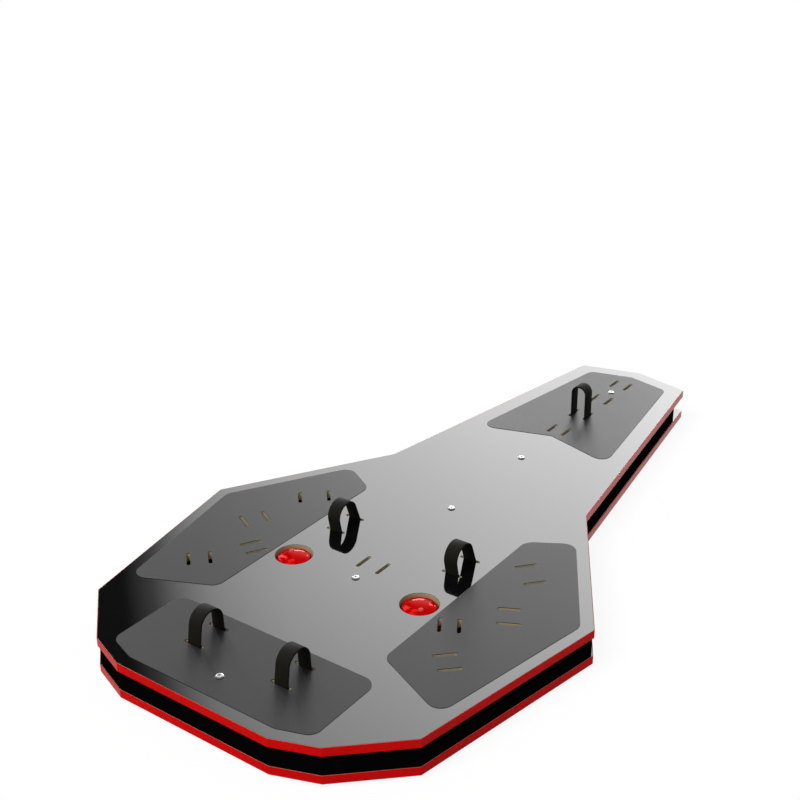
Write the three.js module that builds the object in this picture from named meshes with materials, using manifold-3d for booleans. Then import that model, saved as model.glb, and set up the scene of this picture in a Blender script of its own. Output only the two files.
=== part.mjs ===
// Rocker plate: a deck board that rocks sideways over a base board, on a long shaft in pillow blocks,
// and is brought back level by two inflated balls. Millimetres, +Z up, +Y towards the narrow front,
// +X to the right. The origin is on the floor, under the middle of the boards.
import * as THREE from "three";
import { mergeVertices } from "three/addons/utils/BufferGeometryUtils.js";
import Module from "manifold-3d";

const wasm = await Module();
wasm.setup();

// Boards
const plateLength = 1705;
const plateWidth = 947;
const boardThickness = 18;
const edgeBandThickness = 1.5;
const deckGap = 40;
const footHeight = 10;
const tiltLimitDegrees = 4;

// Clearances
const seatGap = 0.3;
const runningGap = 0.3;
const stopClearance = 0.5;
const cutOverrun = 1;

// Strap slots
const slotWidth = 8;
const slotLength = 46;

// Grip pads
const gripThickness = 0.8;
const gripCornerRadius = 28;
const gripHoleMargin = 1.5;

// Deck bolts
const deckBoltRadius = 4;
const deckBoltHeadRadius = 8.5;
const deckBoltTopRadius = 5.5;
const deckBoltHeadHeight = 3.6;
const deckBoltRim = 0.8;
const hexSocketRadius = 2.9;
const hexSocketDepth = 2.4;

// Shaft, saddles and collars
const shaftRadius = 6;
const shaftOverhang = 10;
const shaftChamfer = 1;
const saddleWidth = 40;
const saddleLength = 28;
const saddleWall = 6;
const boltFloor = 2.5;
const collarWall = 8;
const collarWidth = 11;

// Pillow blocks
const blockLength = 71;
const blockThickness = 16;
const blockDeckClearance = 2;
const blockWall = 4;
const blockWingHeight = 7;
const blockHeadMargin = 1;
const blockBoltInset = 9;
const blockBoltRadius = 2.5;
const blockBoltHeadRadius = 4.4;
const blockBoltHeadHeight = 3.5;
const blockBoltFloor = 3;
const bearingInset = 1;

// Balls
const ballHoleRadius = 39.3;
const ballRadius = 66;
const ballFlatRadius = 52;
const ballCrownDrop = 1;
const ballCrownRise = 8.5;
const valveRadius = 5.5;
const valveDepth = 5;
const valveStand = 2.6;

// Rubber parts
const skirtInset = 4;
const skirtThickness = 3;
const skirtFrontSetback = 62;
const bumperRadius = 15;
const bumperTaper = 2.5;
const footRadius = 20;
const footTaper = 2;

// Webbing straps
const strapWidth = 30;
const strapThickness = 2;
const strapBend = 3;
const footStrapSpan = 66;
const footStrapRise = 61;
const frontStrapSpan = 39.4;
const frontStrapRise = 82;

// How finely the round shapes are drawn
const slotSteps = 4;
const cornerSteps = 4;
const boltSides = 12;
const shaftSides = 24;
const holeSteps = 36;
const ballSides = 28;
const rubberSides = 20;
const hexSides = 6;

// Levels
const halfWidth = plateWidth / 2;
const halfLength = plateLength / 2;
const baseBottom = footHeight;
const baseTop = baseBottom + boardThickness;
const axisRise = deckGap / 2;
const axisHeight = baseTop + axisRise;
const deckBottom = baseTop + deckGap;
const deckTop = deckBottom + boardThickness;

// Places on the boards: x as a share of half the width, y as a share of the length from the rear edge.
const outlineShares = [
  [0.377, 0],
  [0.566, 0.0194],
  [0.8215, 0.0858],
  [1, 0.3433],
  [0.5404, 0.5575],
  [0.3107, 0.9783],
  [0, 1],
];
const ballShares = [0.3331, 0.2744];
const deckBoltYShares = [0.0462, 0.2761, 0.4755, 0.6469, 0.909];
const blockYShares = [0.125, 0.355, 0.7, 0.845];
const bumperXShare = 0.82;
const bumperYShares = [0.2, 0.36];
const footShares = [
  [0.62, 0.075],
  [0.86, 0.335],
  [0.38, 0.62],
  [0.2, 0.955],
];

// Grip pads: x and y as on the boards, then the corner's radius as a share of gripCornerRadius.
const sideGripShares = [
  [0.4327, 0.1705, 0.9],
  [0.7912, 0.1259, 1],
  [0.9442, 0.339, 1],
  [0.6222, 0.4895, 1],
  [0.4327, 0.458, 1],
];
const frontGripShares = [
  [0, 0.7286, 0.4],
  [0.3681, 0.6976, 1],
  [0.2305, 0.9613, 0.7],
  [0, 0.9771, 0.6],
];
const rearGripShares = [
  [0.365, 0.0156, 0.8],
  [0.5085, 0.0292, 0.85],
  [0.5085, 0.1323, 1],
];

// Open slots, each with its twin on the left: x and y as on the boards, then the angle from +X.
const openSlotShares = [
  [0.5375, 0.4112, 49],
  [0.6365, 0.386, 49],
  [0.651, 0.3234, 27],
  [0.7034, 0.2984, 27],
  [0.6131, 0.2109, 44],
  [0.6804, 0.1929, 44],
  [0.4821, 0.2536, -59],
  [0.5512, 0.2641, -59],
  [0.0513, 0.3101, 90],
];
const frontSlotYShares = [0.7509, 0.8774, 0.9403];

// Straps: x and y of the middle between the two slots, and the way that the loop runs. The arch's
// radius and its lean are shares of the span between the slots.
const strapPlaces = [
  { name: "strap_rear", xShare: 0.2218, yShare: 0.0914, lengthways: true, arch: 0.447, lean: 0.03 },
  { name: "strap_middle", xShare: 0.3126, yShare: 0.3672, lengthways: true, arch: 0.447, lean: -0.14 },
  { name: "strap_front", xShare: 0, yShare: 0.8137, lengthways: false, arch: 0.5, lean: 0 },
];

// Materials
function finish(color, roughness, metalness) {
  return new THREE.MeshStandardMaterial({ color, roughness, metalness });
}
const glossBlack = finish(0x0b0b0c, 0.08, 0);
const edgeRed = finish(0xc40808, 0.2, 0);
const gripGrey = finish(0x4a4a4c, 0.7, 0);
const boltSilver = finish(0xd0d0d2, 0.2, 1);
const satinAluminium = finish(0xa8abae, 0.4, 1);
const groundSteel = finish(0xb8babd, 0.25, 1);
const castHousing = finish(0x8d9093, 0.5, 1);
const ballRed = finish(0xb80a08, 0.12, 0);
const valvePink = finish(0xd8504c, 0.3, 0);
const softBlack = finish(0x0a0a0a, 0.9, 0);
const webbingBlack = finish(0x191812, 0.85, 0);

const rockerPlate = new THREE.Group();

function addPiece(name, geometry, material, x = 0, y = 0, z = 0) {
  const mesh = new THREE.Mesh(geometry, material);
  mesh.name = name;
  mesh.position.set(x, y, z);
  rockerPlate.add(mesh);
  return mesh;
}

// Places and outlines

function place(xShare, yShare) {
  return new THREE.Vector2(xShare * halfWidth, yShare * plateLength - halfLength);
}

function mirrorAcross(points) {
  return points.map((point) => new THREE.Vector2(-point.x, point.y)).reverse();
}

function boardOutline(frontSetback) {
  const right = outlineShares.map(([x, y]) => place(x, y));
  const tip = right.pop();
  const frontCorner = right.pop();
  const waist = right[right.length - 1];
  const flank = frontCorner.clone().sub(waist);
  frontCorner.sub(flank.multiplyScalar(frontSetback / flank.y));
  tip.y -= frontSetback;
  right.push(frontCorner);
  return [...right, tip, ...mirrorAcross(right)];
}

function insetOutline(points, distance) {
  return points.map((here, index) => {
    const before = points[(index + points.length - 1) % points.length];
    const after = points[(index + 1) % points.length];
    const wayIn = here.clone().sub(before).normalize();
    const wayOut = after.clone().sub(here).normalize();
    const inward = new THREE.Vector2(-wayIn.y - wayOut.y, wayIn.x + wayOut.x);
    return here.clone().add(inward.multiplyScalar(distance / (1 + wayIn.dot(wayOut))));
  });
}

function roundedCorner(before, corner, after, radius) {
  const toBefore = before.clone().sub(corner).normalize();
  const toAfter = after.clone().sub(corner).normalize();
  const reach = radius / Math.tan(toBefore.angleTo(toAfter) / 2);
  const start = corner.clone().add(toBefore.multiplyScalar(reach));
  const end = corner.clone().add(toAfter.multiplyScalar(reach));
  return new THREE.QuadraticBezierCurve(start, corner, end).getPoints(cornerSteps);
}

function roundedOutline(corners) {
  return corners.flatMap((corner, index) => {
    const before = corners[(index + corners.length - 1) % corners.length];
    const after = corners[(index + 1) % corners.length];
    return roundedCorner(before.point, corner.point, after.point, corner.radius);
  });
}

function gripCorners(shares) {
  return shares.map(([x, y, radiusShare]) => ({
    point: place(x, y),
    radius: radiusShare * gripCornerRadius,
  }));
}

function mirroredCorners(corners) {
  return corners
    .map(({ point, radius }) => ({ point: new THREE.Vector2(-point.x, point.y), radius }))
    .reverse();
}

function arcPoints(centre, radius, start, end, steps) {
  const curve = new THREE.EllipseCurve(centre.x, centre.y, radius, radius, start, end, end < start, 0);
  return curve.getPoints(steps);
}

function circlePoints(centre, radius, steps) {
  return arcPoints(centre, radius, 0, 2 * Math.PI, steps).slice(0, steps);
}

function slotPoints({ centre, angle }) {
  const reach = new THREE.Vector2(Math.cos(angle), Math.sin(angle));
  reach.multiplyScalar((slotLength - slotWidth) / 2);
  const far = centre.clone().add(reach);
  const near = centre.clone().sub(reach);
  const quarter = Math.PI / 2;
  return [
    ...arcPoints(far, slotWidth / 2, angle - quarter, angle + quarter, slotSteps),
    ...arcPoints(near, slotWidth / 2, angle + quarter, angle + 3 * quarter, slotSteps),
  ];
}

function twinSlots(centre, angle) {
  const left = new THREE.Vector2(-centre.x, centre.y);
  return [
    { centre, angle },
    { centre: left, angle: Math.PI - angle },
  ];
}

// Solids

function plate(outline, holes, thickness) {
  const shape = new THREE.Shape(outline);
  shape.holes = holes.map((hole) => new THREE.Path(hole));
  return new THREE.ExtrudeGeometry(shape, { depth: thickness, bevelEnabled: false });
}

function uprightPlate(outline, holes, thickness) {
  return plate(outline, holes, thickness)
    .translate(0, 0, -thickness / 2)
    .rotateX(Math.PI / 2);
}

function turned(profile, sides) {
  const points = profile.map(([radius, height]) => new THREE.Vector2(radius, height));
  return new THREE.LatheGeometry(points, sides);
}

function turnedUpright(profile, sides) {
  return turned(profile, sides).rotateX(Math.PI / 2);
}

function prism(radius, sides, bottom, top, x = 0, y = 0) {
  return new THREE.CylinderGeometry(radius, radius, top - bottom, sides)
    .rotateX(Math.PI / 2)
    .translate(x, y, (top + bottom) / 2);
}

function toSolid(geometry) {
  const bare = geometry.clone();
  bare.deleteAttribute("normal");
  bare.deleteAttribute("uv");
  const merged = mergeVertices(bare);
  return new wasm.Manifold(
    new wasm.Mesh({
      numProp: 3,
      vertProperties: merged.getAttribute("position").array,
      triVerts: new Uint32Array(merged.index.array),
    }),
  );
}

function toGeometry(solid) {
  const mesh = solid.getMesh();
  const geometry = new THREE.BufferGeometry();
  geometry.setAttribute("position", new THREE.BufferAttribute(mesh.vertProperties, 3));
  geometry.setIndex(new THREE.BufferAttribute(mesh.triVerts, 1));
  geometry.computeVertexNormals();
  return geometry;
}

function cutAway(geometry, cutters) {
  const solid = cutters.reduce((rest, cutter) => rest.subtract(toSolid(cutter)), toSolid(geometry));
  return toGeometry(solid);
}

function joined(first, second) {
  return toGeometry(toSolid(first).add(toSolid(second)));
}

// What goes where on the boards

const ballPlaces = [
  { side: "right", centre: place(ballShares[0], ballShares[1]), valveShares: [0.318, -0.336] },
  { side: "left", centre: place(-ballShares[0], ballShares[1]), valveShares: [-0.356, 0.229] },
];
const deckBoltYs = deckBoltYShares.map((share) => place(0, share).y);
const blockYs = blockYShares.map((share) => place(0, share).y);

const straps = strapPlaces.flatMap(({ name, xShare, yShare, lengthways, arch, lean }) => {
  const span = lengthways ? footStrapSpan : frontStrapSpan;
  const rise = lengthways ? footStrapRise : frontStrapRise;
  const sides = lengthways ? { _left: -1, _right: 1 } : { "": 0 };
  return Object.entries(sides).map(([ending, side]) => ({
    name: name + ending,
    centre: place(side * xShare, yShare),
    lengthways,
    span,
    rise,
    arch: arch * span,
    lean: lean * span,
  }));
});

const strapSlots = straps.flatMap(({ centre, lengthways, span }) => {
  const reach = lengthways ? new THREE.Vector2(0, span / 2) : new THREE.Vector2(span / 2, 0);
  const angle = lengthways ? 0 : Math.PI / 2;
  return [
    { centre: centre.clone().sub(reach), angle },
    { centre: centre.clone().add(reach), angle },
  ];
});

const openSlots = [
  ...openSlotShares.flatMap(([x, y, degrees]) =>
    twinSlots(place(x, y), THREE.MathUtils.degToRad(degrees)),
  ),
  ...frontSlotYShares.flatMap((share) =>
    twinSlots(new THREE.Vector2(frontStrapSpan / 2, place(0, share).y), Math.PI / 2),
  ),
];
const slotHoles = [...strapSlots, ...openSlots].map(slotPoints);

function isInside(point, outline) {
  return outline.reduce((inside, here, index) => {
    const before = outline[(index + outline.length - 1) % outline.length];
    if (here.y > point.y === before.y > point.y) return inside;
    const along = (point.y - here.y) / (before.y - here.y);
    return point.x < here.x + along * (before.x - here.x) ? !inside : inside;
  }, false);
}

// Boards and their edge bands

function makeBoard(name, bottom, roundHoles, slots) {
  const outline = insetOutline(boardOutline(0), edgeBandThickness + seatGap);
  const bores = ballPlaces.map(({ centre }) => circlePoints(centre, ballHoleRadius, holeSteps));
  const holes = roundHoles.map(({ centre, radius }) => circlePoints(centre, radius, boltSides));
  const board = plate(outline, [...bores, ...holes, ...slots], boardThickness);
  addPiece(name + "_board", board, glossBlack, 0, 0, bottom);
  const bandHole = insetOutline(boardOutline(0), edgeBandThickness);
  const band = plate(boardOutline(0), [bandHole], boardThickness);
  addPiece(name + "_edge_band", band, edgeRed, 0, 0, bottom);
}

const blockBoltReach = blockLength / 2 - blockBoltInset;
const blockBoltXs = [-blockBoltReach, blockBoltReach];
const baseHoles = blockYs.flatMap((y) =>
  blockBoltXs.map((x) => ({ centre: new THREE.Vector2(x, y), radius: blockBoltRadius + seatGap })),
);
const deckHoles = deckBoltYs.map((y) => ({
  centre: new THREE.Vector2(0, y),
  radius: deckBoltRadius + seatGap,
}));
makeBoard("base", baseBottom, baseHoles, []);
makeBoard("deck", deckBottom, deckHoles, slotHoles);

// Grip pads on the deck, each cut for the slots and bolts that it covers

function makeGrip(name, corners) {
  const outline = roundedOutline(corners);
  const boltHoles = deckBoltYs
    .map((y) => new THREE.Vector2(0, y))
    .filter((centre) => isInside(centre, outline))
    .map((centre) => circlePoints(centre, deckBoltHeadRadius + gripHoleMargin, holeSteps));
  const slots = slotHoles.filter((slot) => isInside(slot[0], outline));
  addPiece(name, plate(outline, [...boltHoles, ...slots], gripThickness), gripGrey, 0, 0, deckTop);
}

const sideGrip = gripCorners(sideGripShares);
const rearGrip = gripCorners(rearGripShares);
const frontGrip = gripCorners(frontGripShares);
makeGrip("grip_pad_right", sideGrip);
makeGrip("grip_pad_left", mirroredCorners(sideGrip));
makeGrip("grip_pad_rear", [...rearGrip, ...mirroredCorners(rearGrip)]);
makeGrip("grip_pad_front", [...frontGrip, ...mirroredCorners(frontGrip.slice(1, -1))]);

// Shaft along the middle of the gap, with the saddles that hang the deck on it

const shaftRear = Math.min(...deckBoltYs) - saddleLength / 2 - shaftOverhang;
const shaftFront = Math.max(...deckBoltYs) + saddleLength / 2 + shaftOverhang;
const shaftProfile = [
  [0, shaftRear],
  [shaftRadius - shaftChamfer, shaftRear],
  [shaftRadius, shaftRear + shaftChamfer],
  [shaftRadius, shaftFront - shaftChamfer],
  [shaftRadius - shaftChamfer, shaftFront],
  [0, shaftFront],
];
addPiece("rocker_shaft", turned(shaftProfile, shaftSides), groundSteel, 0, 0, axisHeight);

const saddleDrop = shaftRadius + saddleWall;
const boltTip = shaftRadius + runningGap + boltFloor;
const shaftBore = circlePoints(new THREE.Vector2(0, 0), shaftRadius + seatGap, shaftSides);
const saddleOutline = [
  new THREE.Vector2(-saddleWidth / 2, -saddleDrop),
  new THREE.Vector2(saddleWidth / 2, -saddleDrop),
  new THREE.Vector2(saddleWidth / 2, axisRise),
  new THREE.Vector2(-saddleWidth / 2, axisRise),
];
const saddleGeometry = cutAway(uprightPlate(saddleOutline, [shaftBore], saddleLength), [
  prism(deckBoltRadius + seatGap, boltSides, boltTip - seatGap, axisRise + cutOverrun),
]);

function buttonBolt() {
  const headTop = deckTop - axisHeight + deckBoltHeadHeight;
  const seat = deckTop - axisHeight;
  const profile = [
    [0, boltTip],
    [deckBoltRadius, boltTip],
    [deckBoltRadius, seat],
    [deckBoltHeadRadius, seat],
    [deckBoltHeadRadius, seat + deckBoltRim],
    [(deckBoltHeadRadius * 3 + deckBoltTopRadius) / 4, seat + (deckBoltRim + deckBoltHeadHeight * 2) / 3],
    [deckBoltTopRadius, headTop],
    [0, headTop],
  ];
  const socket = prism(hexSocketRadius, hexSides, headTop - hexSocketDepth, headTop + cutOverrun);
  return cutAway(turnedUpright(profile, boltSides), [socket]);
}

const boltGeometry = buttonBolt();
deckBoltYs.forEach((y, index) => {
  addPiece(`shaft_saddle_${index + 1}`, saddleGeometry.clone(), satinAluminium, 0, y, axisHeight);
  addPiece(`deck_bolt_${index + 1}`, boltGeometry.clone(), boltSilver, 0, y, axisHeight);
});

// Pillow blocks on the base, each with a bearing insert and two bolts

const housingRadius = axisRise - blockDeckClearance;
const insertRadius = housingRadius - blockWall;
const wingTop = blockWingHeight - axisRise;

function pillowBlockOutline() {
  const middle = new THREE.Vector2(0, 0);
  const shoulder = Math.asin(wingTop / housingRadius) + Math.PI / 3;
  const cap = arcPoints(middle, housingRadius, shoulder, Math.PI - shoulder, holeSteps / 2);
  const shoulderX = blockBoltReach - blockBoltHeadRadius - blockHeadMargin;
  return [
    new THREE.Vector2(-blockLength / 2, -axisRise),
    new THREE.Vector2(blockLength / 2, -axisRise),
    new THREE.Vector2(blockLength / 2, wingTop),
    new THREE.Vector2(shoulderX, wingTop),
    ...cap,
    new THREE.Vector2(-shoulderX, wingTop),
    new THREE.Vector2(-blockLength / 2, wingTop),
  ];
}

const blockBore = circlePoints(new THREE.Vector2(0, 0), insertRadius + seatGap, shaftSides);
const blockGeometry = cutAway(
  uprightPlate(pillowBlockOutline(), [blockBore], blockThickness),
  blockBoltXs.map((x) =>
    prism(blockBoltRadius + seatGap, boltSides, -axisRise - cutOverrun, wingTop + cutOverrun, x),
  ),
);
const insertHalf = blockThickness / 2 - bearingInset;
const insertProfile = [
  [shaftRadius + runningGap, -insertHalf],
  [insertRadius, -insertHalf],
  [insertRadius, insertHalf],
  [shaftRadius + runningGap, insertHalf],
  [shaftRadius + runningGap, -insertHalf],
];
const blockBoltTip = blockBoltFloor - boardThickness - axisRise;
const blockBoltGeometry = joined(
  prism(blockBoltRadius, boltSides, blockBoltTip, wingTop + blockBoltHeadHeight / 2),
  prism(blockBoltHeadRadius, hexSides, wingTop, wingTop + blockBoltHeadHeight),
);

blockYs.forEach((y, index) => {
  const number = index + 1;
  addPiece(`pillow_block_${number}`, blockGeometry.clone(), castHousing, 0, y, axisHeight);
  const insert = turned(insertProfile, shaftSides);
  addPiece(`bearing_insert_${number}`, insert, groundSteel, 0, y, axisHeight);
  blockBoltXs.forEach((x) => {
    const side = x < 0 ? "left" : "right";
    addPiece(`pillow_bolt_${number}_${side}`, blockBoltGeometry.clone(), boltSilver, x, y, axisHeight);
  });
});

// Collars that stop the shaft from sliding along

const collarRadius = shaftRadius + collarWall;
const collarProfile = [
  [shaftRadius + seatGap, -collarWidth / 2],
  [collarRadius, -collarWidth / 2],
  [collarRadius, collarWidth / 2],
  [shaftRadius + seatGap, collarWidth / 2],
  [shaftRadius + seatGap, -collarWidth / 2],
];
const collarReach = (blockThickness + collarWidth) / 2 + runningGap;
const collarYs = {
  shaft_collar_rear: blockYs[0] - collarReach,
  shaft_collar_front: blockYs[blockYs.length - 1] + collarReach,
};
for (const [name, y] of Object.entries(collarYs)) {
  addPiece(name, turned(collarProfile, shaftSides), satinAluminium, 0, y, axisHeight);
}

// Inflated balls, squeezed between the boards and bulging into their holes

const crownRadius = ballHoleRadius - seatGap;
const crownTop = deckTop - axisHeight - ballCrownDrop;
const crownBend = (crownRadius ** 2 + ballCrownRise ** 2) / (2 * ballCrownRise);

function crownHeight(radius) {
  return crownTop - crownBend + Math.sqrt(crownBend ** 2 - radius ** 2);
}

function ballProfile() {
  const crownShares = [0, 0.35, 0.6, 0.8, 0.93, 1];
  const crown = crownShares.map((share) => [share * crownRadius, crownHeight(share * crownRadius)]);
  const flank = axisRise - seatGap;
  const sideSteps = 5;
  const side = Array.from({ length: sideSteps }, (_, index) => {
    const angle = (Math.PI / 2) * (1 - index / sideSteps);
    const reach = (ballRadius - ballFlatRadius) * Math.cos(angle);
    return [ballFlatRadius + reach, flank * Math.sin(angle)];
  });
  const upper = [...crown, [crownRadius, flank], ...side];
  const lower = upper.map(([radius, height]) => [radius, -height]);
  return [...lower, [ballRadius, 0], ...upper.reverse()];
}

const ballGeometry = turnedUpright(ballProfile(), ballSides);
ballPlaces.forEach(({ side, centre, valveShares }) => {
  const valve = valveShares.map((share) => share * ballHoleRadius);
  const valveTop = crownHeight(Math.hypot(...valve));
  const valveSeat = valveTop - valveDepth;
  const pocket = prism(
    valveRadius + seatGap, rubberSides, valveSeat - seatGap, crownTop + cutOverrun, ...valve,
  );
  const ball = cutAway(ballGeometry, [pocket]);
  addPiece("ball_" + side, ball, ballRed, centre.x, centre.y, axisHeight);
  const domeShares = [0.95, 0.78, 0.45];
  const dome = domeShares.map((share) => [
    share * valveRadius,
    valveDepth + valveStand * Math.sqrt(1 - share ** 2),
  ]);
  const plugProfile = [
    [0, 0],
    [valveRadius, 0],
    [valveRadius, valveDepth],
    ...dome,
    [0, valveDepth + valveStand],
  ];
  const [x, y] = valve;
  addPiece(
    "valve_plug_" + side,
    turnedUpright(plugProfile, rubberSides),
    valvePink,
    centre.x + x,
    centre.y + y,
    axisHeight + valveSeat,
  );
});

// Elastic skirt that closes the gap, stopping short of the front tip

const skirtOuter = insetOutline(boardOutline(skirtFrontSetback), skirtInset);
const skirtInner = insetOutline(boardOutline(skirtFrontSetback), skirtInset + skirtThickness);
addPiece("gap_skirt", plate(skirtOuter, [skirtInner], deckGap), softBlack, 0, 0, baseTop);

// Rubber bumpers that stop the deck at its tilt limit, and rubber feet

const tiltLimit = THREE.MathUtils.degToRad(tiltLimitDegrees);
const bumperX = bumperXShare * halfWidth;
const deckAtBumper = axisRise / Math.cos(tiltLimit) - (bumperX + bumperRadius) * Math.tan(tiltLimit);
const bumperHeight = axisRise + deckAtBumper - stopClearance;

function rubberBlock(bottomRadius, topRadius, height) {
  return turnedUpright([[0, 0], [bottomRadius, 0], [topRadius, height], [0, height]], rubberSides);
}

const sides = { left: -1, right: 1 };
for (const [side, sign] of Object.entries(sides)) {
  bumperYShares.forEach((share, index) => {
    const bumper = rubberBlock(bumperRadius, bumperRadius - bumperTaper, bumperHeight);
    addPiece(`bumper_${side}_${index + 1}`, bumper, softBlack, sign * bumperX, place(0, share).y, baseTop);
  });
  footShares.forEach(([xShare, yShare], index) => {
    const foot = rubberBlock(footRadius - footTaper, footRadius, footHeight);
    const spot = place(sign * xShare, yShare);
    addPiece(`foot_${side}_${index + 1}`, foot, softBlack, spot.x, spot.y);
  });
}

// Straps, each a closed loop through two slots: flat below the deck, upright in the slots, and
// above the deck two legs that lean to an arch

function touchAngle(foot, centre, radius, side) {
  const reach = foot.clone().sub(centre);
  return Math.atan2(reach.y, reach.x) + side * Math.acos(Math.min(radius / reach.length(), 1));
}

function loopOutline(half, bottom, top, bend, arch, lean) {
  const centre = new THREE.Vector2(lean, top - arch);
  const lower = bottom + bend;
  const quarter = Math.PI / 2;
  const near = new THREE.Vector2(-half, 0);
  const far = new THREE.Vector2(half, 0);
  const start = touchAngle(far, centre, arch, 1);
  const finish = touchAngle(near, centre, arch, -1) + 4 * quarter;
  return [
    ...arcPoints(new THREE.Vector2(bend - half, lower), bend, 2 * quarter, 3 * quarter, cornerSteps),
    ...arcPoints(new THREE.Vector2(half - bend, lower), bend, 3 * quarter, 4 * quarter, cornerSteps),
    far,
    ...arcPoints(centre, arch, start, finish, holeSteps / 3),
    near,
  ];
}

function makeStrap({ name, centre, lengthways, span, rise, arch, lean }) {
  const underside = deckBottom - deckTop - seatGap;
  const middle = span / 2;
  const half = strapThickness / 2;
  const outer = loopOutline(
    middle + half, underside - strapThickness, rise, strapBend + half, arch + half, lean,
  );
  const inner = loopOutline(
    middle - half, underside, rise - strapThickness, strapBend - half, arch - half, lean,
  );
  const loop = uprightPlate(outer, [inner], strapWidth);
  if (lengthways) loop.rotateZ(Math.PI / 2);
  addPiece(name, loop, webbingBlack, centre.x, centre.y, deckTop);
}

straps.forEach(makeStrap);

export default rockerPlate;
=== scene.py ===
"""The finished look of a rocker plate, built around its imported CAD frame. Metres, +Z up.

The two boards, their red edge bands, the grip pads, the balls, the bolts, the straps and the
rubber parts are modelled here. The shaft, its blocks, saddles and collars keep their CAD meshes.
"""
import math

import bmesh
import bpy
from mathutils import Matrix, Vector


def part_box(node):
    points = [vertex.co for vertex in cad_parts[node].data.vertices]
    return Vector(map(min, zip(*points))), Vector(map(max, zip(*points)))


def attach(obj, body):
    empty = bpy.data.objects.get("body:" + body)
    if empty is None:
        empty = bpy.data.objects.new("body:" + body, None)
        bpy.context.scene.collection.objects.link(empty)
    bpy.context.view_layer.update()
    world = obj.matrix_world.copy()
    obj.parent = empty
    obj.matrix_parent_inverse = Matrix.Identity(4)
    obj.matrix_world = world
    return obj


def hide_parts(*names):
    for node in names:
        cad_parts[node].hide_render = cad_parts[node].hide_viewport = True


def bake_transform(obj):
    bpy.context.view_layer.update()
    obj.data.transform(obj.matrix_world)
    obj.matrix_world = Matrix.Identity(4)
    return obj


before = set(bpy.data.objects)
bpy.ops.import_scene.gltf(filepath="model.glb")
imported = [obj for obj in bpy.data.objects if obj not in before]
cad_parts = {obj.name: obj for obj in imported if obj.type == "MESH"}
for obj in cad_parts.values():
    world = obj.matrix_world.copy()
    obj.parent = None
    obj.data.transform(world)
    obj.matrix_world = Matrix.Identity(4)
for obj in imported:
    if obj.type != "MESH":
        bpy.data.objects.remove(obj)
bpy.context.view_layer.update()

MM = 0.001

# Boards and bands
BAND_THICKNESS = 0.8 * MM
SEAT_GAP = 0.3 * MM
RIM_BEVEL = 0.35 * MM
BAND_BEVEL = 0.6 * MM
BAND_CORNER_BEVEL = 1.2 * MM
BAND_DROP = 0.35 * MM
BALL_HOLE_RADIUS = 39.3 * MM
PLY_THICKNESS = 1.4 * MM
DECK_BOLT_RADIUS = 4 * MM
BLOCK_BOLT_RADIUS = 2.5 * MM
CUT_OVERRUN = 2 * MM

# Slots
SLOT_WIDTH = 8 * MM
SLOT_LENGTH = 46 * MM

# Grip pads
GRIP_CORNER_RADIUS = 28 * MM
GRIP_BEVEL = 0.3 * MM
GRIP_BOLT_HOLE_RADIUS = 10 * MM

# Skirt
SKIRT_INSET = 4 * MM
SKIRT_THICKNESS = 3 * MM
SKIRT_FRONT_SETBACK = 62 * MM
SKIRT_RIB = 0.5 * MM
SKIRT_RIBS = 10

# Balls. Their crowns are parts of a sphere, and the deck's crown is lifted above the CAD's.
BALL_RADIUS = 66 * MM
BALL_FLAT_RADIUS = 52 * MM
BALL_CROWN_RADIUS = BALL_HOLE_RADIUS - 4 * MM
BALL_CROWN_RISE = 7.6 * MM
BALL_SHOULDER = 5 * MM
BALL_LIFT = 2.2 * MM
BALL_POLE = 1.5 * MM
VALVE_RADIUS = 5.5 * MM
VALVE_RIM = 0.8 * MM
VALVE_DEPTH = 5 * MM
VALVE_DIMPLE = 1.3 * MM
VALVE_DIMPLE_EASE = 0.3 * MM
VALVE_DIMPLE_DEPTH = 0.7 * MM
VALVE_RING_CROWDING = 1.6

# Deck bolts
HEAD_RADIUS = 8.5 * MM
HEAD_TOP_RADIUS = 5 * MM
HEAD_HEIGHT = 3 * MM
HEAD_RIM = 0.4 * MM
HEAD_EASE = 0.15 * MM
HEAD_FLAT = 0.5 * MM
BOLT_CHAMFER = 0.6 * MM
SOCKET_RADIUS = 2.2 * MM
SOCKET_DEPTH = 1.6 * MM
SOCKET_BEVEL = 0.2 * MM

# Feet and bumpers: their radii at the bottom and at the top
FOOT_RADII = (18 * MM, 20 * MM)
BUMPER_RADII = (15 * MM, 12.5 * MM)
RUBBER_FILLET = 1.2 * MM

# How finely the round shapes are drawn: sides of a circle, then steps of a curve
HOLE_SIDES = 96
BALL_SIDES = 72
ROUND_SIDES = 48
SMALL_SIDES = 24
HEX_SIDES = 6
BEVEL_STEPS = 3
CORNER_STEPS = 10
CROWN_STEPS = 11
SHOULDER_STEPS = 5
BULGE_STEPS = 14
DOME_STEPS = 12
HEAD_STEPS = 10
ARCH_STEPS = 40
LAP_STEPS = 30
BEND_STEPS = 6

# Straps
STRAP_WIDTH = 30 * MM
STRAP_THICKNESS = 2 * MM
STRAP_BEND = 3 * MM
STRAP_LAP = 2.15 * MM
STRAP_LAP_END = 75
STRAP_TAIL = 8 * MM
STRAP_EDGE_BEVEL = 0.55 * MM
FOOT_STRAP_SPAN = 66 * MM
FRONT_STRAP_SPAN = 39.4 * MM

# The straps' weave: half a herringbone's width, then radians of yarn per metre
HERRINGBONE = 2.5 * MM
YARNS_ALONG = 4200
YARNS_ACROSS = 5200

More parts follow.
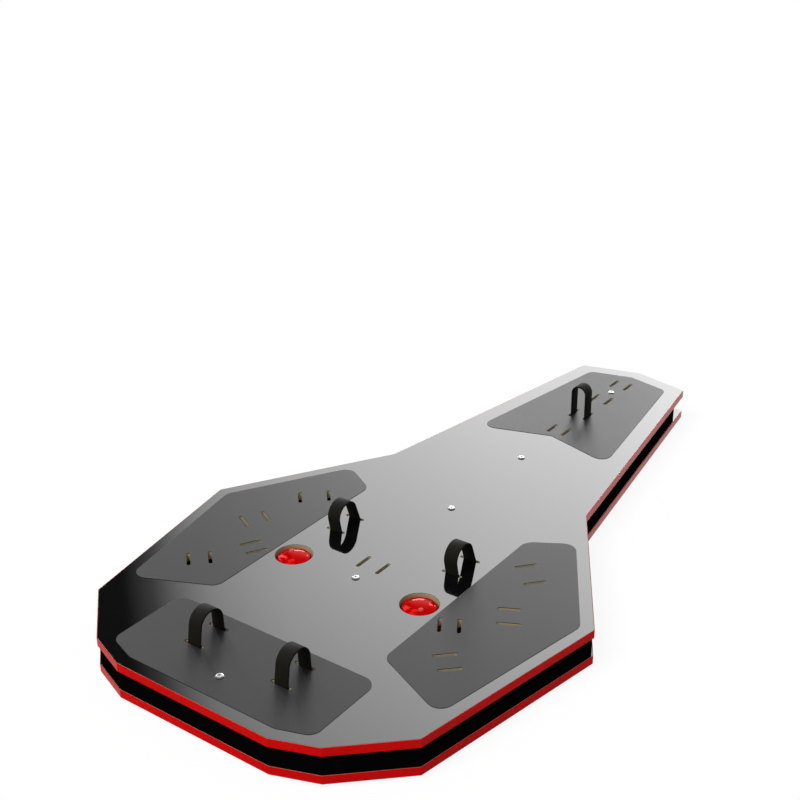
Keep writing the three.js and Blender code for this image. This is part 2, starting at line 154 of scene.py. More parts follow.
# Places on the boards, as in the CAD: x as a share of half the width, y as a share of the length
# from the rear edge. The outline's rows run from the rear edge to the front tip.
OUTLINE_SHARES = [
    (0.377, 0), (0.566, 0.0194), (0.8215, 0.0858), (1, 0.3433), (0.5404, 0.5575), (0.3107, 0.9783),
    (0, 1),
]
SIDE_GRIP_SHARES = [
    (0.4327, 0.1705, 0.9), (0.7912, 0.1259, 1), (0.9442, 0.339, 1), (0.6222, 0.4895, 1),
    (0.4327, 0.458, 1),
]
FRONT_GRIP_SHARES = [(0, 0.7286, 0.4), (0.3681, 0.6976, 1), (0.2305, 0.9613, 0.7), (0, 0.9771, 0.6)]
REAR_GRIP_SHARES = [(0.365, 0.0156, 0.8), (0.5085, 0.0292, 0.85), (0.5085, 0.1323, 1)]

# Open slots on the right, each with its twin on the left: x and y shares, then degrees from +X.
OPEN_SLOT_SHARES = [
    (0.5375, 0.4112, 49), (0.6365, 0.386, 49), (0.651, 0.3234, 27), (0.7034, 0.2984, 27),
    (0.6131, 0.2109, 44), (0.6804, 0.1929, 44), (0.4821, 0.2536, -59), (0.5512, 0.2641, -59),
    (0.0513, 0.3101, 90),
]
FRONT_SLOT_Y_SHARES = [0.7509, 0.8774, 0.9403]

# Straps: x and y shares of the middle between the two slots, the span between them, then the arch's
# radius and its lean as shares of the span. The front strap runs across the deck, the others along it.
STRAPS = {
    "strap_rear_left": (-0.2218, 0.0914, FOOT_STRAP_SPAN, 0.447, 0.03),
    "strap_rear_right": (0.2218, 0.0914, FOOT_STRAP_SPAN, 0.447, 0.03),
    "strap_middle_left": (-0.3126, 0.3672, FOOT_STRAP_SPAN, 0.447, -0.14),
    "strap_middle_right": (0.3126, 0.3672, FOOT_STRAP_SPAN, 0.447, -0.14),
    "strap_front": (0, 0.8137, FRONT_STRAP_SPAN, 0.5, 0),
}

# Camera and floor
CAMERA_PLACE = (1.38571, -2.10581, 1.496)
CAMERA_TURN = 36.3918
CAMERA_DROP = 24.8165
CAMERA_ROLL = -0.7074
CAMERA_LENS = 58.82
SENSOR_WIDTH = 36
FLOOR_SIZE = 60
FLOOR_PAINT = 0.5
FLOOR_GLOW_SHARE = 0.82
FLOOR_GLOW = 1.11

# Light on matt surfaces, as shares of white
AMBIENT = 0.4
KEY_LIGHT = 0.75
KEY_LIGHT_HEIGHT = 55
KEY_LIGHT_TURN = 12
KEY_LIGHT_SOFTNESS = 35

# What gloss mirrors. Around: degrees right of the photograph's view. Up: sine of the height.
GLOW = 4.7
GLOW_AROUND = [
    (-180, 0.015), (-90, 0.015), (-72, 0.15), (-51, 0.24), (-30, 0.08), (-17, 0.005), (-14, 0.005),
    (-13, 0.04), (-11.9, 0.14), (-11.1, 0.26), (-9.6, 0.41), (-5.8, 0.58), (-2.7, 0.66), (0, 0.71),
    (5, 0.81), (9.3, 0.86), (14, 1), (19, 0.7), (30, 0.4), (46, 0.4), (60, 0.2), (88, 0.05),
    (140, 0.02), (180, 0.015),
]
GLOW_UP = [
    (-1, 0.2), (-0.6, 0.5), (-0.1, 0.6), (0, 0.2), (0.12, 0.06), (0.25, 0.45), (0.35, 1), (0.42, 1),
    (0.54, 0.92), (0.63, 0.75), (0.75, 0.4), (0.87, 0.12), (0.97, 0),
]
HORIZON_UP = [(-0.05, 0), (0, 0.65), (0.17, 0.65), (0.35, 0.2), (0.4, 0)]
CEILING_UP = [(0.64, 0), (0.75, 0.2), (0.9, 0.45), (1, 0.5)]
SPARK_DISTANCE = 60

# Soft boxes that only gloss mirrors: degrees right of the photograph's view, then above the horizon,
# the width and the height in degrees, and the brightness.
SPARKS = {
    "low_strip": (0, 9, 12, 10, 12),
    "side_box": (18.8, 26, 5, 8, 28),
    "left_screen": (-25, 24, 6, 42, 9),
    "top_screen": (-19, 59, 12, 10, 8),
}

base_low, base_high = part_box("base_edge_band")
deck_low, deck_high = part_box("deck_edge_band")
HALF_WIDTH = deck_high.x
HALF_LENGTH = deck_high.y
BASE_BOTTOM, BASE_TOP = base_low.z, base_high.z
DECK_BOTTOM, DECK_TOP = deck_low.z, deck_high.z
GRIP_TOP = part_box("grip_pad_right")[1].z


def place(x_share, y_share):
    """A place on the boards, from its shares of their size."""
    return Vector((x_share * HALF_WIDTH, (2 * y_share - 1) * HALF_LENGTH, 0))


def middle(node):
    """The middle of a CAD node's box."""
    low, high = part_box(node)
    return (low + high) / 2


# Modelling by hand: what is selected is worked on


def only(*pieces):
    """Selects these objects alone, the first of them active."""
    bpy.ops.object.select_all(action="DESELECT")
    for piece in pieces:
        piece.select_set(True)
    bpy.context.view_layer.objects.active = pieces[0]


def begin(piece):
    """Opens one piece in edit mode."""
    only(piece)
    bpy.ops.object.mode_set(mode="EDIT")


def end():
    bpy.ops.object.mode_set(mode="OBJECT")


def pick(kind, test):
    """Selects the vertices, edges or faces of the mesh in hand that pass the test, and only them."""
    bpy.ops.mesh.select_mode(type=kind)
    bpy.ops.mesh.select_all(action="DESELECT")
    mesh = bmesh.from_edit_mesh(bpy.context.object.data)
    parts = {"VERT": mesh.verts, "EDGE": mesh.edges, "FACE": mesh.faces}[kind]
    for part in parts:
        if test(part):
            part.select_set(True)
    mesh.select_flush_mode()
    bmesh.update_edit_mesh(bpy.context.object.data)


def extrude(x=0, y=0, z=0):
    bpy.ops.mesh.extrude_region_move(TRANSFORM_OT_translate={"value": (x, y, z)})


def shift(x=0, y=0, z=0):
    bpy.ops.transform.translate(value=(x, y, z))


def widen(factor, centre):
    """Scales what is selected in the level plane, about a centre."""
    bpy.ops.transform.resize(value=(factor, factor, 1), center_override=centre)


def face_outwards():
    """Turns all faces of the mesh in hand outwards, and leaves them selected."""
    bpy.ops.mesh.select_all(action="SELECT")
    bpy.ops.mesh.normals_make_consistent(inside=False)


def modify(piece, kind, **settings):
    """Adds a modifier with these settings and applies it."""
    only(piece)
    modifier = piece.modifiers.new(kind.lower(), kind)
    for name, value in settings.items():
        setattr(modifier, name, value)
    bpy.ops.object.modifier_apply(modifier=modifier.name)


def join(pieces):
    """Makes one object of several. The first of them stays."""
    only(*pieces)
    if len(pieces) > 1:
        bpy.ops.object.join()
    return pieces[0]


def cut(piece, cutters):
    """Cuts the cutters' shapes out of a piece and removes the cutters."""
    cutter = join(cutters)
    modify(piece, "BOOLEAN", object=cutter, operation="DIFFERENCE", solver="EXACT")
    bpy.data.objects.remove(cutter)


def settle(piece):
    """Puts the object's place in its mesh, so that the object itself sits at the origin."""
    only(piece)
    bpy.ops.object.transform_apply(location=True, rotation=True, scale=True)


def smooth(piece, degrees=30):
    only(piece)
    bpy.ops.object.shade_smooth_by_angle(angle=math.radians(degrees))


def smooth_rims(piece, degrees=40):
    """Shades a plate smooth over its bevels, with its large faces flat."""
    smooth(piece, degrees)
    modify(piece, "WEIGHTED_NORMAL", keep_sharp=True, weight=80)


def name_it(name):
    """Names the object that was made last, and its mesh."""
    piece = bpy.context.object
    piece.name = name
    piece.data.name = name
    return piece


def copy_of(piece, name, spot=Vector(), turn=0):
    """A copy with its own mesh, moved and turned about the upright axis."""
    only(piece)
    bpy.ops.object.duplicate(linked=False)
    copy = name_it(name)
    copy.location += spot
    copy.rotation_euler.z = turn
    settle(copy)
    return copy


def flat_sheet(name, corners, height):
    """A flat face: a disc whose rim points are dragged to the corners."""
    bpy.ops.mesh.primitive_circle_add(
        vertices=len(corners), radius=HALF_WIDTH, fill_type="NGON", location=(0, 0, height)
    )
    sheet = name_it(name)
    settle(sheet)
    begin(sheet)
    for index, corner in enumerate(corners):
        pick("VERT", lambda vertex: vertex.index == index)
        start = bmesh.from_edit_mesh(sheet.data).verts[:][index].co.copy()
        shift(corner.x - start.x, corner.y - start.y)
    end()
    return sheet


def thicken(sheet, thickness):
    """Extrudes a flat sheet upwards into a closed plate."""
    begin(sheet)
    bpy.ops.mesh.select_all(action="SELECT")
    extrude(z=thickness)
    face_outwards()
    end()


def inset(sheet, distance):
    """Opens a sheet in edit mode and insets it. What lies inside is left selected."""
    begin(sheet)
    bpy.ops.mesh.select_mode(type="FACE")
    bpy.ops.mesh.select_all(action="SELECT")
    bpy.ops.mesh.inset(thickness=distance, use_even_offset=True)


def keep_inside(sheet, distance):
    """Takes a sheet's rim away, this wide."""
    inset(sheet, distance)
    bpy.ops.mesh.select_all(action="INVERT")
    bpy.ops.mesh.delete(type="FACE")
    end()


def keep_rim(sheet, distance):
    """Takes all of a sheet away but its rim, this wide."""
    inset(sheet, distance)
    bpy.ops.mesh.delete(type="FACE")
    end()


def turned(name, profile, spot, sides):
    """A closed round piece on an upright axis: a disc extruded and widened ring by ring.

    The profile holds (radius, height) pairs, and starts and ends on a small flat face.
    """
    radius, height = profile[0]
    bpy.ops.mesh.primitive_circle_add(
        vertices=sides, radius=radius, fill_type="NGON", location=(spot.x, spot.y, height)
    )
    piece = name_it(name)
    begin(piece)
    for next_radius, next_height in profile[1:]:
        extrude(z=next_height - height)
        widen(next_radius / radius, (spot.x, spot.y, next_height))
        radius, height = next_radius, next_height
    face_outwards()
    end()
    settle(piece)
    return piece


# Outlines


def mirrored(points):
    """The points' twins on the other side, in the opposite order."""
    return [Vector((-point.x, point.y, 0)) for point in reversed(points)]


def board_outline(front_setback=0):
    """The board's corners, counterclockwise from the rear, with the front set back along its flanks."""
    right = [place(x, y) for x, y in OUTLINE_SHARES]
    tip = right.pop()
    flank = right[-1] - right[-2]
    right[-1] = right[-1] - flank * (front_setback / flank.y)
    tip.y -= front_setback
    return right + [tip] + mirrored(right)


def round_corner(sheet, corner, before, after, radius):
    """Rounds one corner of a flat sheet."""
    half_angle = (before - corner).angle(after - corner) / 2
    begin(sheet)
    pick("VERT", lambda vertex: (vertex.co.xy - corner.xy).length < SEAT_GAP)
    reach = radius / math.tan(half_angle)
    bpy.ops.mesh.bevel(offset=reach, offset_type="OFFSET", segments=CORNER_STEPS, affect="VERTICES")
    end()


# Slots and holes


def slot_cutter(bottom, top, rim):
    """A slot's shape as a solid: a cylinder with its halves pulled apart, and a flare above the rim."""
    radius = SLOT_WIDTH / 2
    bpy.ops.mesh.primitive_cylinder_add(
        vertices=SMALL_SIDES, radius=radius, depth=top - rim - bottom, end_fill_type="NGON",
        location=(0, 0, (top - rim + bottom) / 2), rotation=(0, 0, math.pi / SMALL_SIDES),
    )
    cutter = name_it("slot")
    settle(cutter)
    begin(cutter)
    if rim:
        pick("FACE", lambda face: face.normal.z > 0.9)
        extrude(z=2 * rim)
        widen(1 + 2 * rim / radius, (0, 0, top + rim))
    reach = (SLOT_LENGTH - SLOT_WIDTH) / 2
    pick("VERT", lambda vertex: vertex.co.x > 0)
    shift(x=reach)
    pick("VERT", lambda vertex: vertex.co.x < 0)
    shift(x=-reach)
    end()
    return cutter


def hole_cutter(radius, spot, bottom, top, rim=0, sides=HOLE_SIDES):
    """A round hole's shape as a solid, with a flare above the rim."""
    profile = [(radius, bottom), (radius, top - rim)]
    if rim:
        profile.append((radius + 2 * rim, top + rim))
    return turned("hole", profile, spot, sides)


def slot_places():
    """Every slot in the deck as (centre, angle)."""
    slots = []
    for x_share, y_share, span, _, _ in STRAPS.values():
        lengthways = span == FOOT_STRAP_SPAN
        centre = place(x_share, y_share)
        reach = Vector((0, span / 2, 0)) if lengthways else Vector((span / 2, 0, 0))
        turn = 0 if lengthways else math.pi / 2
        slots += [(centre - reach, turn), (centre + reach, turn)]
    open_slots = [(place(x, y), math.radians(degrees)) for x, y, degrees in OPEN_SLOT_SHARES]
    for share in FRONT_SLOT_Y_SHARES:
        spot = place(0, share) + Vector((FRONT_STRAP_SPAN / 2, 0, 0))
        open_slots.append((spot, math.pi / 2))
    for spot, angle in open_slots:
        slots += [(spot, angle), (Vector((-spot.x, spot.y, 0)), math.pi - angle)]
    return slots


def inside(point, outline):
    """Whether a point lies inside a flat outline."""
    crossings = 0
    for here, after in zip(outline, outline[1:] + outline[:1]):
        if (here.y > point.y) != (after.y > point.y):
            along = (point.y - here.y) / (after.y - here.y)
            crossings += point.x < here.x + along * (after.x - here.x)
    return crossings % 2 == 1


# Materials: nodes written as arithmetic


class Wire:
    """One output of a node. Arithmetic on it adds Math nodes to its tree."""

    def __init__(self, finish, socket):
        self.finish = finish
        self.socket = socket

    def __add__(self, other):
        return self.finish.maths("ADD", self, other)

    def __radd__(self, other):
        return self.finish.maths("ADD", other, self)

    def __sub__(self, other):
        return self.finish.maths("SUBTRACT", self, other)

    def __rsub__(self, other):
        return self.finish.maths("SUBTRACT", other, self)

    def __mul__(self, other):
        return self.finish.maths("MULTIPLY", self, other)

    def __rmul__(self, other):
        return self.finish.maths("MULTIPLY", other, self)

    def __truediv__(self, other):
        return self.finish.maths("DIVIDE", self, other)

    def __rtruediv__(self, other):
        return self.finish.maths("DIVIDE", other, self)


class Finish:
    """A material, or the world, while its nodes are being laid out."""

    def __init__(self, owner):
        owner.use_nodes = True
        self.owner = owner
        self.tree = owner.node_tree
        self.tree.nodes.clear()

    def add(self, kind, settings=(), inputs=(), output=0):
        """Adds a node: its settings first, then the values or wires of its sockets."""
        node = self.tree.nodes.new(kind)
        for name, value in dict(settings).items():
            if name == "stops":
                self.set_stops(node.color_ramp, value)
            else:
                setattr(node, name, value)
        for name, value in dict(inputs).items():
            if isinstance(value, Wire):
                self.tree.links.new(value.socket, node.inputs[name])
            else:
                node.inputs[name].default_value = value
        return Wire(self, node.outputs[output]) if node.outputs else None

    def maths(self, operation, *values):
        """A Math node with these values or wires."""
        return self.add("ShaderNodeMath", {"operation": operation}, dict(enumerate(values)))

    def part(self, spot, axis):
        """One coordinate of a place: 0, 1 or 2."""
        return self.add("ShaderNodeSeparateXYZ", inputs={"Vector": spot}, output=axis)

    def set_stops(self, ramp, stops):
        """Gives a colour ramp these stops, each a position with a colour or a grey."""
        while len(ramp.elements) > len(stops):
            ramp.elements.remove(ramp.elements[-1])
        while len(ramp.elements) < len(stops):
            ramp.elements.new(1)
        for element, (position, colour) in zip(ramp.elements, stops):
            element.position = position
            element.color = (*colour, 1) if isinstance(colour, tuple) else (colour, colour, colour, 1)

    def place_on(self, source="Object", scale=(1, 1, 1), turn=(0, 0, 0)):
        """The piece's own coordinates, turned and stretched."""
        spot = self.add("ShaderNodeTexCoord", output=source)
        return self.add(
            "ShaderNodeMapping", inputs={"Vector": spot, "Rotation": turn, "Scale": scale}
        )

    def noise(self, spot, scale, detail=3, roughness=0.5):
        inputs = {"Vector": spot, "Scale": scale, "Detail": detail, "Roughness": roughness}
        return self.add("ShaderNodeTexNoise", inputs=inputs)

    def mix(self, factor, first, second):
        """A colour between two colours."""
        return self.add(
            "ShaderNodeMix", {"data_type": "RGBA"}, {0: factor, 6: first, 7: second}, output=2
        )

    def ramp(self, factor, stops):
        return self.add("ShaderNodeValToRGB", {"stops": stops}, {"Fac": factor})

    def bump(self, height, strength, distance):
        inputs = {"Height": height, "Strength": strength, "Distance": distance}
        return self.add("ShaderNodeBump", inputs=inputs)

    def close(self, **sockets):
        """The surface's shader, with its sockets given by name, and the material's output."""
        inputs = {name.replace("_", " "): value for name, value in sockets.items()}
        surface = self.add("ShaderNodeBsdfPrincipled", inputs=inputs)
        self.add("ShaderNodeOutputMaterial", inputs={"Surface": surface})
        return self.owner


def new_finish(name):
    """A new material, ready for its nodes."""
    return Finish(bpy.data.materials.new(name))


def gloss_laminate():
    """Black high-gloss laminate: near-mirror, with faint smudges and a trace of orange peel."""
    finish = new_finish("gloss_laminate")
    spot = finish.place_on()
    smudge = finish.noise(spot, 7, 6, 0.6)
    grime = finish.noise(spot, 60, 4)
    peel = finish.noise(spot, 420, 2)
    return finish.close(
        Base_Color=finish.mix(grime, (0.0015, 0.0015, 0.0016, 1), (0.004, 0.004, 0.0042, 1)),
        Roughness=0.02 + 0.05 * smudge,
        IOR=1.8,
        Normal=finish.bump(peel, 0.03, 0.0002),
    )


def plywood_edge():
    """Birch ply seen on a cut wall: thin plies in turn pale and brown, with fibres and glue lines."""
    finish = new_finish("plywood_edge")
    place_in_board = finish.place_on()
    height = finish.part(place_in_board, 2)
    warp = finish.noise(place_in_board, 30, 2)
    depth = finish.maths("PINGPONG", height + 0.0006 * warp, PLY_THICKNESS)
    band = finish.ramp(depth / PLY_THICKNESS, [
        (0, (0.26, 0.2, 0.11)), (0.08, (0.5, 0.43, 0.27)), (0.48, (0.6, 0.53, 0.35)),
        (0.56, (0.43, 0.35, 0.2)), (1, (0.36, 0.28, 0.15)),
    ])
    fibre = finish.noise(finish.place_on(scale=(1, 1, 22)), 160, 5)
    wood = finish.mix(0.3 * fibre, band, (0.26, 0.2, 0.11, 1))
    return finish.close(
        Base_Color=wood, Roughness=0.55 + 0.25 * fibre, Normal=finish.bump(fibre, 0.4, 0.0003)
    )


def red_edge():
    """Red plastic edge banding, satin with a very fine grain."""
    finish = new_finish("red_edge")
    spot = finish.place_on()
    cloud = finish.noise(spot, 14, 3)
    grain = finish.noise(spot, 900, 2)
    return finish.close(
        Base_Color=finish.mix(cloud, (0.6, 0.0006, 0.0008, 1), (0.68, 0.0012, 0.0015, 1)),
        Roughness=0.22 + 0.08 * grain,
        IOR=1.3,
        Specular_IOR_Level=0.3,
        Normal=finish.bump(grain, 0.05, 0.0001),
    )


def grip_sheet():
    """Matt dark grey grip sheet: a close pebble grain with small paler flecks."""
    finish = new_finish("grip_sheet")
    spot = finish.place_on()
    pebble = finish.add("ShaderNodeTexVoronoi", inputs={"Vector": spot, "Scale": 520})
    fleck = finish.noise(spot, 1400, 2)
    cloud = finish.noise(spot, 5, 4)
    colour = finish.mix(fleck, (0.013, 0.013, 0.0135, 1), (0.028, 0.028, 0.029, 1))
    return finish.close(
        Base_Color=finish.mix(0.25 * cloud, colour, (0.012, 0.012, 0.0125, 1)),
        Roughness=0.34 + 0.1 * cloud,
        Specular_IOR_Level=0.2,
        Normal=finish.bump(pebble, 0.12, 0.0004),
    )


def bright_steel():
    """Polished steel of the deck bolts, with fine tool marks."""
    finish = new_finish("bright_steel")
    spot = finish.place_on()
    marks = finish.noise(finish.place_on(scale=(1, 1, 30)), 300, 4)
    cloud = finish.noise(spot, 90, 3)
    return finish.close(
        Base_Color=finish.mix(cloud, (0.34, 0.34, 0.345, 1), (0.42, 0.42, 0.425, 1)),
        Metallic=1.0,
        Roughness=0.2 + 0.12 * marks,
        Normal=finish.bump(marks, 0.05, 0.0001),
    )


def metal(name, colour, roughness, mark_scale, stretch, bump):
    """A worked metal: its colour, its roughness and how its tool marks run."""
    finish = new_finish(name)
    marks = finish.noise(finish.place_on(scale=stretch), mark_scale, 5)
    cloud = finish.noise(finish.place_on(), 25, 3)
    darker = tuple(0.8 * part for part in colour)
    return finish.close(
        Base_Color=finish.mix(cloud, (*darker, 1), (*colour, 1)),
        Metallic=1.0,
        Roughness=roughness + 0.15 * marks,
        Normal=finish.bump(marks, bump, 0.0002),
    )


def ball_skin():
    """Glossy red inflated skin, a little uneven."""
    finish = new_finish("ball_skin")
    spot = finish.place_on()
    cloud = finish.noise(spot, 22, 4)
    ripple = finish.noise(spot, 45, 2)
    return finish.close(
        Base_Color=finish.mix(cloud, (0.42, 0.0008, 0.0008, 1), (0.53, 0.0014, 0.0014, 1)),
        Metallic=0.09,
        Roughness=0.06 + 0.05 * cloud,
        Specular_IOR_Level=0.01,
        Normal=finish.bump(ripple, 0.12, 0.002),
    )


def valve_plastic():
    """Paler red plastic of the valve plugs."""
    finish = new_finish("valve_plastic")
    grain = finish.noise(finish.place_on(), 700, 3)
    return finish.close(
        Base_Color=finish.mix(grain, (0.56, 0.035, 0.03, 1), (0.64, 0.05, 0.045, 1)),
        Roughness=0.35 + 0.15 * grain,
        Specular_IOR_Level=0.2,
        Normal=finish.bump(grain, 0.1, 0.0002),
    )


def rubber(name, colour, roughness):
    """Moulded black rubber with a dull bloom."""
    finish = new_finish(name)
    spot = finish.place_on()
    bloom = finish.noise(spot, 40, 4)
    grain = finish.noise(spot, 1100, 2)
    paler = tuple(2.2 * part for part in colour)
    return finish.close(
        Base_Color=finish.mix(bloom, (*colour, 1), (*paler, 1)),
        Roughness=roughness + 0.1 * bloom,
        Specular_IOR_Level=0.25,
        Normal=finish.bump(grain, 0.25, 0.0003),
    )


def skirt_cloth():
    """Matt black elastic of the skirt: close cords along it, read from its UV map in metres."""
    finish = new_finish("skirt_cloth")
    spot = finish.place_on("UV")
    cord = finish.add(
        "ShaderNodeTexWave", {"bands_direction": "Y"}, {"Vector": spot, "Scale": 200, "Distortion": 0.6}
    )
    fuzz = finish.noise(spot, 900, 3)
    return finish.close(
        Base_Color=finish.mix(fuzz, (0.001, 0.001, 0.0011, 1), (0.0026, 0.0026, 0.0027, 1)),
        Roughness=0.9 + 0.08 * fuzz,
        Specular_IOR_Level=0.0,
        Normal=finish.bump(cord + 0.4 * fuzz, 0.5, 0.0004),
    )


def webbing():
    """Near-black olive webbing: a herringbone of fine yarns, read from its UV map in metres."""
    finish = new_finish("webbing")
    spot = finish.place_on("UV")
    across = finish.part(spot, 0)
    along = finish.part(spot, 1)
    zigzag = finish.maths("PINGPONG", across, HERRINGBONE)
    yarn = finish.maths("SINE", (along + zigzag) * YARNS_ALONG)
    rib = finish.maths("SINE", across * YARNS_ACROSS)
    weave = 0.5 + 0.25 * yarn + 0.25 * rib
    fuzz = finish.noise(spot, 1500, 3)
    colour = finish.mix(weave, (0.0035, 0.0034, 0.0022, 1), (0.012, 0.0115, 0.0078, 1))
    return finish.close(
        Base_Color=finish.mix(0.3 * fuzz, colour, (0.014, 0.013, 0.01, 1)),
        Roughness=0.75 + 0.1 * fuzz,
        Specular_IOR_Level=0.25,
        Normal=finish.bump(weave + 0.3 * fuzz, 0.6, 0.0004),
    )


LAMINATE = gloss_laminate()
PLYWOOD = plywood_edge()
RED_EDGE = red_edge()
GRIP = grip_sheet()
BRIGHT_STEEL = bright_steel()
SATIN_ALUMINIUM = metal("satin_aluminium", (0.62, 0.63, 0.64), 0.32, 240, (1, 25, 1), 0.15)
GROUND_STEEL = metal("ground_steel", (0.66, 0.66, 0.67), 0.18, 300, (30, 1, 30), 0.08)
CAST_IRON = metal("cast_iron", (0.33, 0.34, 0.35), 0.48, 420, (1, 1, 1), 0.5)
BALL_SKIN = ball_skin()
VALVE = valve_plastic()
RUBBER = rubber("moulded_rubber", (0.008, 0.008, 0.008), 0.75)
SKIRT_CLOTH = skirt_cloth()
WEBBING = webbing()

DECK_BOLTS = [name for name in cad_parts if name.startswith("deck_bolt_")]
BLOCK_BOLTS = [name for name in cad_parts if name.startswith("pillow_bolt_")]


def dress(piece, body, slot, node, *finishes):
    """Gives a finished piece its materials and its body, and lets it stand for its CAD node."""
    if finishes:
        piece.data.materials.clear()
        for finish in finishes:
            piece.data.materials.append(finish)
    if body:
        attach(piece, body)
    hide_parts(node)


# Boards and their edge bands


def is_level(edge):
    """Whether an edge of the mesh in hand lies level."""
    return abs(edge.verts[0].co.z - edge.verts[1].co.z) < SEAT_GAP


def bevel_rims(piece, offset, test=lambda edge: True):
    """Bevels the level edges of a plate that pass the test."""
    begin(piece)
    pick("EDGE", lambda edge: is_level(edge) and test(edge))
    bpy.ops.mesh.bevel(offset=offset, segments=BEVEL_STEPS, affect="EDGES")
    end()


def line_with_ply(piece, finish):
    """Gives the plate its finish, and plywood to its upright walls."""
    piece.data.materials.append(finish)
    piece.data.materials.append(PLYWOOD)
    begin(piece)
    pick("FACE", lambda face: abs(face.normal.z) < 0.5)
    piece.active_material_index = 1
    bpy.ops.object.material_slot_assign()
    end()


def make_board(body, bottom, top, cutters):
    """A board inside its edge band: laminate faces, plywood walls, and the cutters' holes."""
    piece = flat_sheet(body + "_panel", board_outline(), bottom)
    keep_inside(piece, BAND_THICKNESS + SEAT_GAP)
    thicken(piece, top - bottom)
    bevel_rims(piece, RIM_BEVEL)
    cut(piece, cutters)
    line_with_ply(piece, LAMINATE)
    smooth_rims(piece)
    dress(piece, body, "board", body + "_board")


def make_edge_band(body, bottom, top):
    """The band round a board, its top a hair below the laminate."""
    piece = flat_sheet(body + "_band", board_outline(), bottom)
    thicken(piece, top - bottom - BAND_DROP)
    begin(piece)
    pick("EDGE", lambda edge: not is_level(edge))
    bpy.ops.mesh.bevel(offset=BAND_CORNER_BEVEL, segments=BEVEL_STEPS, affect="EDGES")
    end()
    bevel_rims(piece, BAND_BEVEL)
    core = flat_sheet("core", board_outline(), bottom - CUT_OVERRUN)
    keep_inside(core, BAND_THICKNESS)
    thicken(core, top - bottom + 2 * CUT_OVERRUN)
    cut(piece, [core])
    smooth_rims(piece)
    dress(piece, body, "edge_band", body + "_edge_band", RED_EDGE)


def slot_cutters(bottom, top, rim, wanted=lambda spot: True):
    """A cutter for each slot in the deck whose place is wanted."""
    tool = slot_cutter(bottom, top, rim)
    copies = [copy_of(tool, "slot_copy", spot, angle) for spot, angle in slot_places() if wanted(spot)]
    bpy.data.objects.remove(tool)
    return copies


def make_boards():
    """Both boards with their holes and slots, and their bands."""
    low, high = BASE_BOTTOM - CUT_OVERRUN, BASE_TOP
    balls = [middle("ball_left"), middle("ball_right")]
    holes = [hole_cutter(BALL_HOLE_RADIUS, spot, low, high, RIM_BEVEL) for spot in balls]
    for bolt in BLOCK_BOLTS:
        holes.append(hole_cutter(BLOCK_BOLT_RADIUS + SEAT_GAP, middle(bolt), low, high, 0, SMALL_SIDES))
    make_board("base", BASE_BOTTOM, BASE_TOP, holes)
    make_edge_band("base", BASE_BOTTOM, BASE_TOP)
    low, high = DECK_BOTTOM - CUT_OVERRUN, DECK_TOP
    holes = [hole_cutter(BALL_HOLE_RADIUS, spot, low, high, RIM_BEVEL) for spot in balls]
    radius = DECK_BOLT_RADIUS + SEAT_GAP
    for bolt in DECK_BOLTS:
        holes.append(hole_cutter(radius, middle(bolt), low, high, RIM_BEVEL, SMALL_SIDES))
    make_board("deck", DECK_BOTTOM, DECK_TOP, holes + slot_cutters(low, high, RIM_BEVEL))
    make_edge_band("deck", DECK_BOTTOM, DECK_TOP)


# Grip pads


def make_grip(name, node, shares):
    """A grip pad: rounded corners, a softened rim, and cut for the slots and bolts that it covers."""
    corners = [place(x, y) for x, y, share in shares]
    piece = flat_sheet(name, corners, DECK_TOP)
    for index, (x, y, share) in enumerate(shares):
        before, after = corners[index - 1], corners[(index + 1) % len(corners)]
        round_corner(piece, corners[index], before, after, share * GRIP_CORNER_RADIUS)
    thicken(piece, GRIP_TOP - DECK_TOP)
    bevel_rims(piece, GRIP_BEVEL, lambda edge: edge.verts[0].co.z > (DECK_TOP + GRIP_TOP) / 2)
    low, high = DECK_TOP - CUT_OVERRUN, GRIP_TOP
    cutters = slot_cutters(low, high, GRIP_BEVEL, lambda spot: inside(spot, corners))
    for bolt in DECK_BOLTS:
        spot = middle(bolt)
        if inside(spot, corners):
            hole = hole_cutter(GRIP_BOLT_HOLE_RADIUS, spot, low, high, GRIP_BEVEL, ROUND_SIDES)
            cutters.append(hole)
    cut(piece, cutters)
    smooth_rims(piece)
    dress(piece, "deck", "grip", node, GRIP)


def mirrored_shares(shares):
    """The twins of a pad's corners on the left, in the opposite order."""
    return [(-x, y, share) for x, y, share in reversed(shares)]


def make_grips():
    """The four pads: one on each side, one at the rear and one in front."""
    make_grip("grip_right", "grip_pad_right", SIDE_GRIP_SHARES)
    make_grip("grip_left", "grip_pad_left", mirrored_shares(SIDE_GRIP_SHARES))
    make_grip("grip_rear", "grip_pad_rear", REAR_GRIP_SHARES + mirrored_shares(REAR_GRIP_SHARES))
    make_grip("grip_front", "grip_pad_front",
              FRONT_GRIP_SHARES + mirrored_shares(FRONT_GRIP_SHARES[1:-1]))


# Balls and their valve plugs


def crown_bend(top):
    """The radius of the sphere that the crown is part of, and the height of its centre."""
    bend = (BALL_CROWN_RADIUS ** 2 + BALL_CROWN_RISE ** 2) / (2 * BALL_CROWN_RISE)
    return bend, top - bend


